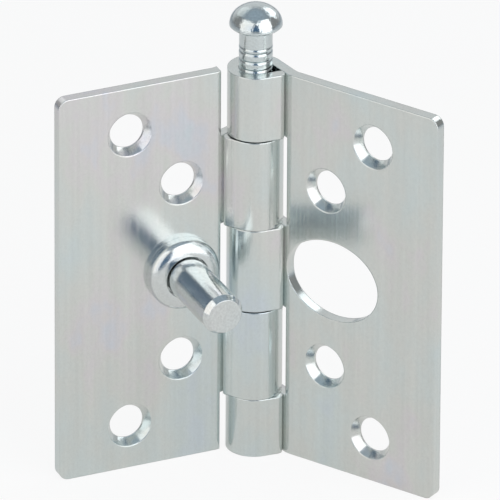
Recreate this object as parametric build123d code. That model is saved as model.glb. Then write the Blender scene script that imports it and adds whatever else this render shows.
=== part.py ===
from build123d import *
import os
from math import atan2, cos, degrees, hypot, radians, sin

# A security butt hinge of zinc-plated steel, standing on its bottom edges with its leaves part open.
# +Z runs up the pin. The origin is on the pin's axis, level with the foot of the leaves.
# The receiver leaf points along +X with its countersunk face towards -Y.
# Each leaf is drawn along +X with its countersunk face towards +Y, then mirrored or swung into place.
# Lengths are in millimetres and angles in degrees.

# Strip and barrel
LEAF_HEIGHT = 89.0
SHEET = 2.35
PIN_RADIUS = 3.55
PIN_CLEARANCE = 0.05
FACE_SETBACK = 0.7
CORNER_RADIUS = 2.2
STUD_REACH = 44.4
RECEIVER_EXTRA = 1.0
OPENING = 121.5

# Rolled knuckle: the ramp out of the leaf, the reverse bend, and where the curl runs straight to its tip
RAMP_ANGLE = 22.0
BEND_RADIUS = 2.0
CURL_END_ANGLE = 35.0
ROLL_SLIT = 0.1
TIP_ROUND = 1.3

# The receiver leaf's three knuckles, with the stud leaf's two in equal slots between them
BOTTOM_KNUCKLE = 13.4
MIDDLE_KNUCKLE = 19.0
TOP_KNUCKLE = 14.8
AXIAL_PLAY = 0.35
SEAT_GAP = 0.05
NOTCH_CLEARANCE = 0.55

# Countersunk screw holes, in two rows on each leaf, about a level just under mid-height
PATTERN_DROP = 0.4
INNER_ROW = 16.5
OUTER_ROW_MARGIN = 16.2
OUTER_END_MARGIN = 10.35
ROW_STEP = 13.55
SCREW_RADIUS = 3.8
COUNTERSINK_RADIUS = 5.0
SCREW_LAND = 0.35

# Security stud, riveted through the stud leaf, and its collar
STUD_RADIUS = 4.5
STUD_LENGTH = 22.9
STUD_TIP_RADIUS = 3.7
STUD_TIP_LENGTH = 1.3
STUD_NECK_DEPTH = 0.3
STUD_NECK_RISE = 0.2
TAIL_RADIUS = 3.4
TAIL_CLEARANCE = 0.02
RIVET_FLARE = 0.8
COLLAR_WIDTH = 3.45
COLLAR_HEIGHT = 3.5
COLLAR_WALL = 1.5
COLLAR_GRIP = 1.1
COLLAR_GRIP_CLEARANCE = 0.02
COLLAR_GROOVE = 0.3
RECEIVER_SIDE_CLEARANCE = 0.8
RECEIVER_END_CLEARANCE = 1.15

# Loose pin with a ball head and grip rings, the first of them narrow, standing raised out of the barrel
HEAD_RADIUS = 5.6
HEAD_EDGE = 0.4
HEAD_SHOULDER = 3.9
DOME_HEIGHT = 4.55
PIN_RAISED = 9.5
PIN_END_RECESS = 1.0
PIN_CHAMFER = 0.6
NECK_LENGTH = 4.1
NECK_RELIEF = 0.05
FIRST_RING = 1.15
RING_PITCH = 1.9
RING_COUNT = 3
RING_DEPTH = 0.2
RING_SLOPE = 0.4

# Sizes worked out from those above
bore_radius = PIN_RADIUS + PIN_CLEARANCE
barrel_radius = bore_radius + SHEET
back_setback = FACE_SETBACK + SHEET
neck_radius = PIN_RADIUS - NECK_RELIEF
knuckle_slot = (LEAF_HEIGHT - BOTTOM_KNUCKLE - MIDDLE_KNUCKLE - TOP_KNUCKLE) / 2
lower_slot = (BOTTOM_KNUCKLE, BOTTOM_KNUCKLE + knuckle_slot)
upper_slot = (lower_slot[1] + MIDDLE_KNUCKLE, LEAF_HEIGHT - TOP_KNUCKLE)
pattern_height = LEAF_HEIGHT / 2 - PATTERN_DROP
outer_spacing = LEAF_HEIGHT - 2 * OUTER_END_MARGIN
inner_spacing = outer_spacing - 2 * ROW_STEP
stud_neck = COLLAR_HEIGHT + STUD_NECK_RISE
stud_neck_radius = STUD_RADIUS - STUD_NECK_DEPTH
collar_radius = STUD_RADIUS + COLLAR_WIDTH
stud_shank_top = STUD_LENGTH - STUD_TIP_LENGTH
swing_radius = hypot(INNER_ROW + STUD_TIP_RADIUS, STUD_LENGTH - FACE_SETBACK)
receiver_inner = INNER_ROW - collar_radius - RECEIVER_SIDE_CLEARANCE
receiver_outer = swing_radius + RECEIVER_SIDE_CLEARANCE


def polar(radius, angle):
    """Point in a leaf's section at an angle from the leaf's direction."""
    return (radius * cos(radians(angle)), radius * sin(radians(angle)))


def ramp_corner(radius, setback):
    """Where the ramp's surface, tangent to a circle about the pin, meets the leaf's flat surface."""
    slope = radians(RAMP_ANGLE)
    run = (radius * cos(slope) - setback) / sin(slope)
    return (radius * sin(slope) + run * cos(slope), -setback)


def tip_corner(radius):
    """End of the straight tip's surface, cut level with the ramp one slit away from it."""
    slope = radians(RAMP_ANGLE)
    start_x, start_y = polar(radius, CURL_END_ANGLE)
    way_x, way_y = polar(1.0, CURL_END_ANGLE - 90)
    height = start_y * cos(slope) - start_x * sin(slope) + bore_radius - ROLL_SLIT
    drop = way_x * sin(slope) - way_y * cos(slope)
    return (start_x + way_x * height / drop, start_y + way_y * height / drop)


def leaf_section(reach):
    """Section of a leaf and its rolled knuckle across the pin's axis."""
    leave_angle = RAMP_ANGLE - 90
    curl = 360 + leave_angle - CURL_END_ANGLE
    outer_tip = tip_corner(barrel_radius)
    outline = [
        CenterArc((0, 0), bore_radius, CURL_END_ANGLE, curl),
        CenterArc((0, 0), barrel_radius, CURL_END_ANGLE, curl),
        FilletPolyline(
            polar(bore_radius, leave_angle),
            ramp_corner(bore_radius, FACE_SETBACK),
            (reach, -FACE_SETBACK),
            radius=BEND_RADIUS + SHEET,
        ),
        FilletPolyline(
            polar(barrel_radius, leave_angle),
            ramp_corner(barrel_radius, back_setback),
            (reach, -back_setback),
            radius=BEND_RADIUS,
        ),
        FilletPolyline(
            polar(barrel_radius, CURL_END_ANGLE),
            outer_tip,
            tip_corner(bore_radius),
            polar(bore_radius, CURL_END_ANGLE),
            radius=[TIP_ROUND, 0],
        ),
        Line((reach, -FACE_SETBACK), (reach, -back_setback)),
    ]
    return make_face(outline)


def notch(low, high):
    """Cutter that takes the barrel away between two heights, clear of the other leaf's rounded tip."""
    tip_angle = RAMP_ANGLE + 90 - CURL_END_ANGLE
    rounded_off = TIP_ROUND / sin(radians(tip_angle / 2)) - TIP_ROUND
    depth = hypot(*tip_corner(barrel_radius)) - rounded_off + NOTCH_CLEARANCE
    width = barrel_radius + 1 + depth
    side = 2 * (barrel_radius + 1)
    return Pos(depth - width / 2, 0, (low + high) / 2) * Box(width, side, high - low)


def face_plane(u, z):
    """Plane on a leaf's countersunk face, with its normal out of that face."""
    return Plane(origin=(u, -FACE_SETBACK, z), x_dir=(1, 0, 0), z_dir=(0, 1, 0))


def turned(outline):
    """Solid turned about Z from an outline of radius and height."""
    return revolve(Plane.XZ * make_face(outline), axis=Axis.Z)


def screw_hole():
    """Cutter for one countersunk hole, with the leaf's face at height zero."""
    sink = SHEET - SCREW_LAND
    outline = Polyline(
        (0, 0),
        (COUNTERSINK_RADIUS, 0),
        (SCREW_RADIUS, -sink),
        (SCREW_RADIUS, -SHEET),
        (0, -SHEET),
        (0, 0),
    )
    return turned(outline)


def screw_places(extra):
    """Centres of a leaf's four screw holes, as distance from the pin's axis and height."""
    rows = ((STUD_REACH - OUTER_ROW_MARGIN, outer_spacing), (INNER_ROW, inner_spacing))
    return [
        (u + extra, pattern_height + side * spacing / 2)
        for u, spacing in rows
        for side in (-1, 1)
    ]


def pressed_leaf(extra, gaps):
    """A leaf cut, pierced, countersunk and rolled from one strip, with gaps in its barrel."""
    leaf = extrude(leaf_section(STUD_REACH + extra), LEAF_HEIGHT)
    for low, high in gaps:
        leaf -= notch(low, high)
    for u, z in screw_places(extra):
        leaf -= face_plane(u, z) * screw_hole()
    corners = leaf.edges().filter_by(Axis.Y).group_by(Axis.X)[-1]
    return fillet(corners, CORNER_RADIUS)


def receiver_leaf():
    """Leaf with the top, middle and bottom knuckles and the oval hole that takes the stud."""
    leaf = pressed_leaf(RECEIVER_EXTRA, (lower_slot, upper_slot))
    width = receiver_outer - receiver_inner
    height = 2 * (collar_radius + RECEIVER_END_CLEARANCE)
    middle = (receiver_inner + receiver_outer) / 2
    hole = extrude(Ellipse(width / 2, height / 2), -barrel_radius)
    leaf -= face_plane(middle, pattern_height) * hole
    return mirror(leaf, about=Plane.XZ)


def stud_leaf():
    """Leaf with the two other knuckles, standing on those below, and the stud's riveted hole."""
    knuckles = [(low + SEAT_GAP, high - AXIAL_PLAY + SEAT_GAP) for low, high in (lower_slot, upper_slot)]
    gaps = ((0, knuckles[0][0]), (knuckles[0][1], knuckles[1][0]), (knuckles[1][1], LEAF_HEIGHT))
    leaf = pressed_leaf(0, gaps)
    leaf -= face_plane(INNER_ROW, pattern_height) * turned(tail_outline(TAIL_CLEARANCE))
    return swing(leaf)


def swing(piece):
    """Swing a piece of the stud leaf's side open about the pin."""
    return piece.rotate(Axis.Z, -OPENING)


def tail_outline(growth):
    """Outline of the stud's riveted tail in the leaf, or of its hole when grown."""
    narrow = TAIL_RADIUS + growth
    return Polyline(
        (0, 0),
        (narrow, 0),
        (narrow, RIVET_FLARE - SHEET),
        (narrow + RIVET_FLARE, -SHEET),
        (0, -SHEET),
        (0, 0),
    )


def security_stud():
    """Round stud on a narrower neck, with a tapered tip and a tail riveted flush behind the leaf."""
    shank = Polyline(
        (0, 0),
        (stud_neck_radius, 0),
        (stud_neck_radius, stud_neck),
        (STUD_RADIUS, stud_neck),
        (STUD_RADIUS, stud_shank_top),
        (STUD_TIP_RADIUS, STUD_LENGTH),
        (0, STUD_LENGTH),
        (0, 0),
    )
    stud = turned(shank) + turned(tail_outline(0))
    return swing(face_plane(INNER_ROW, pattern_height) * stud)


def stud_collar():
    """Ring that grips the stud's neck, domed up to a narrow groove beside the stud."""
    grip_radius = stud_neck_radius + COLLAR_GRIP_CLEARANCE
    groove_radius = STUD_RADIUS + COLLAR_GROOVE
    dome_width = collar_radius - groove_radius
    dome_height = COLLAR_HEIGHT - COLLAR_WALL
    outline = [
        Polyline(
            (groove_radius, COLLAR_HEIGHT),
            (groove_radius, COLLAR_GRIP),
            (grip_radius, COLLAR_GRIP),
            (grip_radius, 0),
            (collar_radius, 0),
            (collar_radius, COLLAR_WALL),
        ),
        EllipticalCenterArc((groove_radius, COLLAR_WALL), dome_width, dome_height, 0, arc_size=90),
    ]
    return swing(face_plane(INNER_ROW, pattern_height) * turned(outline))


def ball_head():
    """Outline of the pin's head above its flat seat: broken edge, then shoulder and crown in tangent arcs."""
    shoulder_run = HEAD_RADIUS - HEAD_SHOULDER
    crown = (shoulder_run**2 + DOME_HEIGHT**2 - HEAD_SHOULDER**2) / (2 * (DOME_HEIGHT - HEAD_SHOULDER))
    turn = degrees(atan2(crown - DOME_HEIGHT, shoulder_run))
    return [
        Polyline((neck_radius, 0), (HEAD_RADIUS - HEAD_EDGE, 0), (HEAD_RADIUS, HEAD_EDGE)),
        CenterArc((shoulder_run, HEAD_EDGE), HEAD_SHOULDER, 0, turn),
        CenterArc((0, HEAD_EDGE + DOME_HEIGHT - crown), crown, turn, 90 - turn),
    ]


def hinge_pin():
    """Loose pin with a ball head, a plain neck and a band of sloped grip rings, drawn up out of the barrel."""
    end = PIN_END_RECESS - LEAF_HEIGHT
    groove_radius = PIN_RADIUS - RING_DEPTH
    profile = [(neck_radius, 0), (neck_radius, -NECK_LENGTH), (groove_radius, -NECK_LENGTH)]
    ring_top = -NECK_LENGTH
    for width in [FIRST_RING] + [RING_PITCH] * RING_COUNT:
        profile += [
            (PIN_RADIUS, ring_top - RING_SLOPE),
            (PIN_RADIUS, ring_top - width + RING_SLOPE),
            (groove_radius, ring_top - width),
        ]
        ring_top -= width
    profile += [
        (PIN_RADIUS, ring_top),
        (PIN_RADIUS, end + PIN_CHAMFER),
        (PIN_RADIUS - PIN_CHAMFER, end),
        (0, end),
        (0, HEAD_EDGE + DOME_HEIGHT),
    ]
    outline = [Polyline(*profile)] + ball_head()
    return Pos(0, 0, LEAF_HEIGHT + PIN_RAISED) * turned(outline)


nodes = {
    "receiver_leaf": receiver_leaf(),
    "stud_leaf": stud_leaf(),
    "security_stud": security_stud(),
    "stud_collar": stud_collar(),
    "hinge_pin": hinge_pin(),
}
os.makedirs("parts", exist_ok=True)
for name, solid in nodes.items():
    export_step(solid, f"parts/{name}.step")
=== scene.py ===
import math
from typing import NamedTuple

import bpy
from mathutils import Matrix, Vector

# A zinc-plated security butt hinge in a bright studio. Every visible piece is a CAD node, so this script
# gives the plating its look and lights it. Lengths are in metres in the hinge's own frame: +Z runs up the
# pin and +X along the right leaf. Angles are in degrees, and azimuth 0 is the side that faces -Y.

# Camera: a long lens from the front right and above, aimed near the middle of the pin
CAMERA_AZIMUTH = 34.59
CAMERA_ELEVATION = 26.9
CAMERA_ROLL = 0.33
CAMERA_DISTANCE = 2.783
CAMERA_REACH = 50
LENS_MM = 952.6
SENSOR_MM = 36.0
AIM_HEIGHT = 0.0445
AIM_RIGHT = 0.00097
AIM_UP = 0.00136

# Lamps: (name, azimuth from the camera's, elevation, distance, width, height, radiance, colour). The pin's
# head shows the two in front as its twin highlights.
LAMPS = (
    ("front_left_panel", -44, 26.5, 0.42, 0.43, 0.50, 0.97, (1.0, 0.945, 0.895)),
    ("front_right_panel", 44, 26.5, 0.42, 0.44, 0.56, 1.52, (1.0, 0.965, 0.955)),
    ("back_right_panel", 135, 37, 0.7, 0.40, 0.36, 1.3, (0.96, 0.98, 1.0)),
    ("back_left_panel", -138, 42, 0.7, 0.42, 0.40, 0.35, (0.96, 1.0, 0.98)),
)
LAMP_AIM = (0, 0, 0.045)

# The room that the plating mirrors: a pale backdrop beyond the hinge, and a dark blue patch on the camera's
# side, which makes the dark band along the stud
WHITE = (1, 1, 1, 1)
BACKDROP = (0.72, 0.73, 0.74, 1)
ROOM_CEILING = (0.36, 0.435, 0.50, 1)
ROOM_SIDES = (0.29, 0.29, 0.29, 1)
ROOM_FRONT = (0.10, 0.175, 0.275, 1)

# Where the room's colours meet. Of a unit direction, DEPTH is the part away from the camera and RISE the
# part upwards.
BACKDROP_DEPTH = (math.cos(math.radians(65)), math.cos(math.radians(35)))
BACKDROP_RISE = (math.sin(math.radians(45)), math.sin(math.radians(65)))
FRONT_DEPTH = (-0.92, -0.5)
FRONT_RISE = (0.5, 0.75)
CEILING_RISE = (0.55, 0.95)

# Floor: matt and pale, mixed with a glow. The camera sees that as white and the plating sees it as a warm
# white pool round the hinge, so the floor keeps its shadow and the background stays light.
FLOOR_SIZE = 8.0
FLOOR_COLOUR = (0.84, 0.84, 0.84, 1)
GLOW_TO_CAMERA = 0.88
GLOW_TO_METAL = 0.47
GLOW_IN_METAL = (0.90, 0.868, 0.828, 1)
POOL_FULL_RADIUS = 0.16
POOL_END_RADIUS = 0.32

# Zinc plating: a bluish grey, whose interference tints follow one another as its thickness drifts
ZINC_GREY = (0.670, 0.712, 0.726, 1)
PIN_ZINC_GREY = (0.630, 0.698, 0.720, 1)
ZINC_TINTS = (
    (0.33, (0.633, 0.712, 0.765, 1)),
    (0.41, (0.652, 0.726, 0.724, 1)),
    (0.48, (0.674, 0.719, 0.700, 1)),
    (0.55, (0.697, 0.714, 0.684, 1)),
    (0.60, (0.717, 0.694, 0.705, 1)),
    (0.64, (0.677, 0.694, 0.753, 1)),
    (0.70, (0.633, 0.712, 0.765, 1)),
)
DRIFT_STRETCH = (1, 1, 0.55)
DRIFT = {"scale": 42, "detail": 4, "roughness": 0.62, "seed": 37.0}

# Marks in the steel under it: fine lines and wider bands, which rolling draws out up the strip, and a speckle
LINES = {"scale": 1500, "detail": 3, "roughness": 0.6}
BANDS = {"scale": 160, "detail": 3, "roughness": 0.6}
SPECKLE = {"scale": 2200, "detail": 2, "roughness": 0.5}
ROLLED_STRETCH = (1, 1, 0.02)
NOISE_LOW = 0.3
NOISE_HIGH = 0.7
ROUGHNESS_SPREAD = 0.03
BEVEL_SAMPLES = 8

# Height of the bands: deeper round the barrel, where the strip is curled, than on the flat of a leaf
BARREL_BANDS = 0.00032
LEAF_BANDS = 0.00002
BARREL_END_RADIUS = 0.0061
LEAF_START_RADIUS = 0.0075


class Finish(NamedTuple):
    """How a kind of piece is plated, with the height of its marks and the radius of its edges in metres."""

    slot: str
    grey: tuple
    tint_share: float
    roughness: float
    streaks: float
    grain: float
    relief: float
    edge: float
    rolled: bool


LEAF = Finish(
    slot="leaf_plating",
    grey=ZINC_GREY,
    tint_share=0.8,
    roughness=0.19,
    streaks=0.025,
    grain=0.03,
    relief=0.000006,
    edge=0.0004,
    rolled=True,
)
STUD = Finish(
    slot="stud_plating",
    grey=ZINC_GREY,
    tint_share=0.35,
    roughness=0.10,
    streaks=0.01,
    grain=0.08,
    relief=0.00002,
    edge=0.0002,
    rolled=False,
)
COLLAR = STUD._replace(roughness=0.19, grain=0.05)
PIN = Finish(
    slot="pin_plating",
    grey=PIN_ZINC_GREY,
    tint_share=0.35,
    roughness=0.085,
    streaks=0.01,
    grain=0.06,
    relief=0.00004,
    edge=0.0003,
    rolled=False,
)
FINISHES = {
    "receiver_leaf": LEAF,
    "stud_leaf": LEAF,
    "security_stud": STUD,
    "stud_collar": COLLAR,
    "hinge_pin": PIN,
}


def new_material(name):
    """Empty node material."""
    made = bpy.data.materials.new(name)
    made.use_nodes = True
    made.node_tree.nodes.clear()
    return made


class Nodes:
    """Short way to add and join the nodes of one tree."""

    def __init__(self, tree):
        self.tree = tree

    def add(self, kind, settings=None, **inputs):
        """New node with its settings and inputs.

        An input is named by its socket, with _ for a space, or by i and its number. It is given as a value
        or as another node's output.
        """
        node = self.tree.nodes.new(kind)
        for key, value in (settings or {}).items():
            setattr(node, key, value)
        for key, value in inputs.items():
            numbered = key[0] == "i" and key[1:].isdigit()
            socket = node.inputs[int(key[1:]) if numbered else key.replace("_", " ")]
            if isinstance(value, bpy.types.NodeSocket):
                self.tree.links.new(value, socket)
            else:
                socket.default_value = value
        return node

    def math(self, operation, first, second):
        """Output of a maths node on two values."""
        return self.add("ShaderNodeMath", {"operation": operation}, i0=first, i1=second).outputs[0]

    def mix(self, share, first, second):
        """Colour between two colours."""
        node = self.add("ShaderNodeMix", {"data_type": "RGBA"}, i0=share, i6=first, i7=second)
        return node.outputs[2]

    def noise(self, place, scale, detail, roughness, seed=0.0):
        """Value of a noise at a place."""
        sizes = {"Scale": scale, "Detail": detail, "Roughness": roughness}
        node = self.add("ShaderNodeTexNoise", {"noise_dimensions": "4D"}, Vector=place, W=seed, **sizes)
        return node.outputs[0]

    def stretch(self, place, factors):
        """Place with each of its coordinates multiplied."""
        node = self.add("ShaderNodeVectorMath", {"operation": "MULTIPLY"}, i0=place, i1=factors)
        return node.outputs[0]

    def length(self, place):
        """Distance of a place from the origin."""
        return self.add("ShaderNodeVectorMath", {"operation": "LENGTH"}, i0=place).outputs["Value"]

    def colours(self, value, stops):
        """Colour read off a row of stops."""
        node = self.add("ShaderNodeValToRGB", Fac=value)
        row = node.color_ramp.elements
        while len(row) < len(stops):
            row.new(1.0)
        for element, (place, colour) in zip(row, stops):
            element.position = place
            element.color = colour
        return node.outputs[0]

    def ramp(self, value, low, high, at_low=0.0, at_high=1.0):
        """Value moved from one range to another and kept inside it."""
        return self.add("ShaderNodeMapRange", i0=value, i1=low, i2=high, i3=at_low, i4=at_high).outputs[0]

    def swing(self, noise, spread, middle=0.0):
        """Noise moved to the range that reaches as far as the spread on both sides of the middle."""
        return self.ramp(noise, NOISE_LOW, NOISE_HIGH, middle - spread, middle + spread)


def zinc(finish):
    """Bright zinc plate with drifting tints, rolling lines or an even grain, and softened edges."""
    made = new_material(finish.slot)
    n = Nodes(made.node_tree)
    place = n.add("ShaderNodeTexCoord").outputs["Object"]
    along = n.stretch(place, ROLLED_STRETCH) if finish.rolled else place
    drift = n.noise(n.stretch(place, DRIFT_STRETCH), **DRIFT)
    lines = n.noise(along, **LINES)
    bands = n.noise(along, **BANDS)
    speckle = n.noise(place, **SPECKLE)
    tinted = n.mix(finish.tint_share, finish.grey, n.colours(drift, ZINC_TINTS))
    shade = n.math("ADD", n.swing(lines, finish.streaks), n.swing(bands, finish.streaks))
    shade = n.math("ADD", shade, n.swing(speckle, finish.grain, middle=1.0))
    colour = n.add("ShaderNodeHueSaturation", Value=shade, Color=tinted).outputs[0]
    roughness = n.math("ADD", n.swing(lines, ROUGHNESS_SPREAD), finish.roughness)
    soft = n.add("ShaderNodeBevel", {"samples": BEVEL_SAMPLES}, Radius=finish.edge).outputs[0]
    height = n.math("MULTIPLY", n.math("ADD", lines, speckle), finish.relief)
    if finish.rolled:
        height = n.math("ADD", height, n.math("MULTIPLY", bands, band_height(n, place)))
    bump = n.add("ShaderNodeBump", Strength=1.0, Distance=1.0, Height=height, Normal=soft).outputs[0]
    metal = n.add(
        "ShaderNodeBsdfPrincipled", Base_Color=colour, Metallic=1.0, Roughness=roughness, Normal=bump
    )
    n.add("ShaderNodeOutputMaterial", Surface=metal.outputs[0])
    return made


def band_height(n, place):
    """Height of the bands that rolling leaves, by the distance from the pin's axis."""
    radius = n.length(n.stretch(place, (1, 1, 0)))
    return n.ramp(radius, BARREL_END_RADIUS, LEAF_START_RADIUS, BARREL_BANDS, LEAF_BANDS)


def paint(nodes):
    """Gives each CAD node its plating."""
    platings = {finish: zinc(finish) for finish in (LEAF, STUD, COLLAR, PIN)}
    for name, finish in FINISHES.items():
        node = nodes[name]
        node.data.materials.clear()
        node.data.materials.append(platings[finish])


def direction(azimuth, elevation):
    """Unit vector from the hinge towards an azimuth and elevation."""
    turn = math.radians(azimuth)
    rise = math.radians(elevation)
    return Vector((math.sin(turn) * math.cos(rise), -math.cos(turn) * math.cos(rise), math.sin(rise)))


def floor():
    """Flat floor under the hinge, in its mix of matt and glow."""
    half = FLOOR_SIZE / 2
    corners = [(-half, -half, 0), (half, -half, 0), (half, half, 0), (-half, half, 0)]
    mesh = bpy.data.meshes.new("floor")
    mesh.from_pydata(corners, [], [(0, 1, 2, 3)])
    made = bpy.data.objects.new("floor", mesh)
    bpy.context.scene.collection.objects.link(made)
    paper = new_material("floor_paper")
    n = Nodes(paper.node_tree)
    path = n.add("ShaderNodeLightPath").outputs
    matt = n.add("ShaderNodeBsdfDiffuse", Color=FLOOR_COLOUR).outputs[0]
    glow_colour = n.mix(path["Is Camera Ray"], GLOW_IN_METAL, WHITE)
    glow = n.add("ShaderNodeEmission", Color=glow_colour, Strength=1.0).outputs[0]
    away = n.length(n.add("ShaderNodeTexCoord").outputs["Object"])
    pool = n.ramp(away, POOL_FULL_RADIUS, POOL_END_RADIUS, GLOW_TO_METAL, 0.0)
    to_metal = n.math("MULTIPLY", n.math("MAXIMUM", path["Is Glossy Ray"], path["Is Transmission Ray"]), pool)
    to_camera = n.math("MULTIPLY", path["Is Camera Ray"], GLOW_TO_CAMERA)
    share = n.math("MAXIMUM", to_camera, to_metal)
    mixed = n.add("ShaderNodeMixShader", i0=share, i1=matt, i2=glow).outputs[0]
    n.add("ShaderNodeOutputMaterial", Surface=mixed)
    mesh.materials.append(paper)


def room():
    """World that the plating mirrors, and that the camera sees past the floor as plain white."""
    world = bpy.data.worlds.new("room")
    bpy.context.scene.world = world
    world.use_nodes = True
    world.node_tree.nodes.clear()
    n = Nodes(world.node_tree)
    way = n.add("ShaderNodeTexCoord").outputs["Generated"]
    rise = n.add("ShaderNodeSeparateXYZ", Vector=way).outputs["Z"]
    away = -direction(CAMERA_AZIMUTH, 0)
    depth = n.add("ShaderNodeVectorMath", {"operation": "DOT_PRODUCT"}, i0=way, i1=away).outputs["Value"]
    backdrop = n.math("MULTIPLY", n.ramp(depth, *BACKDROP_DEPTH), n.ramp(rise, *BACKDROP_RISE, 1.0, 0.0))
    front = n.math("MULTIPLY", n.ramp(depth, *FRONT_DEPTH, 1.0, 0.0), n.ramp(rise, *FRONT_RISE, 1.0, 0.0))
    colour = n.mix(front, ROOM_SIDES, ROOM_FRONT)
    colour = n.mix(n.ramp(rise, *CEILING_RISE), colour, ROOM_CEILING)
    colour = n.mix(backdrop, colour, BACKDROP)
    seen = n.mix(n.add("ShaderNodeLightPath").outputs["Is Camera Ray"], colour, WHITE)
    light = n.add("ShaderNodeBackground", Color=seen, Strength=1.0).outputs[0]
    n.add("ShaderNodeOutputWorld", Surface=light)


def lamps():
    """Soft panels in front on both sides of the camera, and two weaker ones behind."""
    for name, azimuth, elevation, distance, width, height, radiance, colour in LAMPS:
        data = bpy.data.lights.new(name, "AREA")
        data.shape = "RECTANGLE"
        data.size = width
        data.size_y = height
        data.energy = radiance * math.pi * width * height
        data.color = colour
        made = bpy.data.objects.new(name, data)
        way = direction(CAMERA_AZIMUTH + azimuth, elevation)
        made.location = Vector(LAMP_AIM) + way * distance
        made.rotation_mode = "QUATERNION"
        made.rotation_quaternion = (-way).to_track_quat("-Z", "Y")
        made.visible_camera = False
        bpy.context.scene.collection.objects.link(made)


def camera():
    """Camera that sees the hinge as the photograph does."""
    data = bpy.data.cameras.new("camera")
    data.lens = LENS_MM
    data.sensor_width = SENSOR_MM
    data.clip_end = CAMERA_REACH
    back = direction(CAMERA_AZIMUTH, CAMERA_ELEVATION)
    roll = Matrix.Rotation(math.radians(CAMERA_ROLL), 3, "Z")
    turn = (-back).to_track_quat("-Z", "Y").to_matrix() @ roll
    aim = Vector((0, 0, AIM_HEIGHT)) - turn.col[0] * AIM_RIGHT + turn.col[1] * AIM_UP
    made = bpy.data.objects.new("camera", data)
    made.matrix_world = Matrix.Translation(aim + back * CAMERA_DISTANCE) @ turn.to_4x4()
    bpy.context.scene.collection.objects.link(made)
    bpy.context.scene.camera = made


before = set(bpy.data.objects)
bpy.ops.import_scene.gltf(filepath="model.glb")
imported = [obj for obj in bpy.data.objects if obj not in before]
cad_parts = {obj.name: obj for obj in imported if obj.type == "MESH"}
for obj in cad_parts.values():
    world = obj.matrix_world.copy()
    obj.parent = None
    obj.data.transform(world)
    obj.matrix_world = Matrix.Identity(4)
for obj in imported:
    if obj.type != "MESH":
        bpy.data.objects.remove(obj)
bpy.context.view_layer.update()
paint(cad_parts)
floor()
room()
lamps()
camera()
bpy.context.scene.view_settings.view_transform = "Standard"
